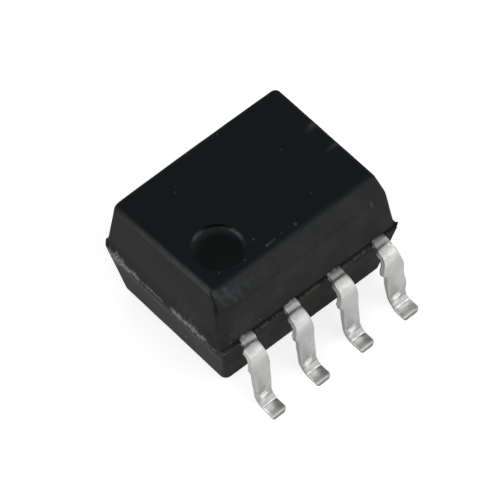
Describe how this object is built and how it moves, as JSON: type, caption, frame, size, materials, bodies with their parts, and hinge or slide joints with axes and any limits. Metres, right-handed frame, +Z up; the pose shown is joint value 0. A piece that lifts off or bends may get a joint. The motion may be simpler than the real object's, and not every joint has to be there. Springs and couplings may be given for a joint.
{
  "type": "small outline chip",
  "caption": "Tall black moulded surface-mount chip with gull-wing leads in two rows, a bevelled edge and a round orientation mark, holding two optically coupled channels.",
  "frame": {"origin": "middle of the plane that the solder feet stand on", "axes": "+X along the rows from lead 1 to lead 4, +Y across the rows from leads 1 to 4 towards leads 5 to 7, +Z up out of the top face"},
  "size_m": [0.005, 0.006, 0.0032],
  "materials": {
    "epoxy": "matte black moulding epoxy",
    "tinned_lead": "copper alloy strip under matte tin",
    "emitter_chip": "sawn compound semiconductor",
    "sensor_chip": "polished silicon",
    "die_adhesive": "silver-filled epoxy",
    "gold_wire": "bright gold",
    "clear_gel": "clear silicone"
  },
  "bodies": {
    "root": {"moulding": "epoxy", "lead_1": "tinned_lead", "lead_2": "tinned_lead", "lead_3": "tinned_lead", "lead_4": "tinned_lead", "lead_5": "tinned_lead", "lead_6": "tinned_lead", "lead_7": "tinned_lead", "emitter_die_a": "emitter_chip", "emitter_die_b": "emitter_chip", "sensor_die_a": "sensor_chip", "sensor_die_b": "sensor_chip", "emitter_adhesive_a": "die_adhesive", "emitter_adhesive_b": "die_adhesive", "sensor_adhesive_a": "die_adhesive", "sensor_adhesive_b": "die_adhesive", "emitter_wire_a": "gold_wire", "emitter_wire_b": "gold_wire", "sensor_wire_a": "gold_wire", "sensor_wire_b": "gold_wire", "gel_a": "clear_gel", "gel_b": "clear_gel"}
  },
  "joints": []
}
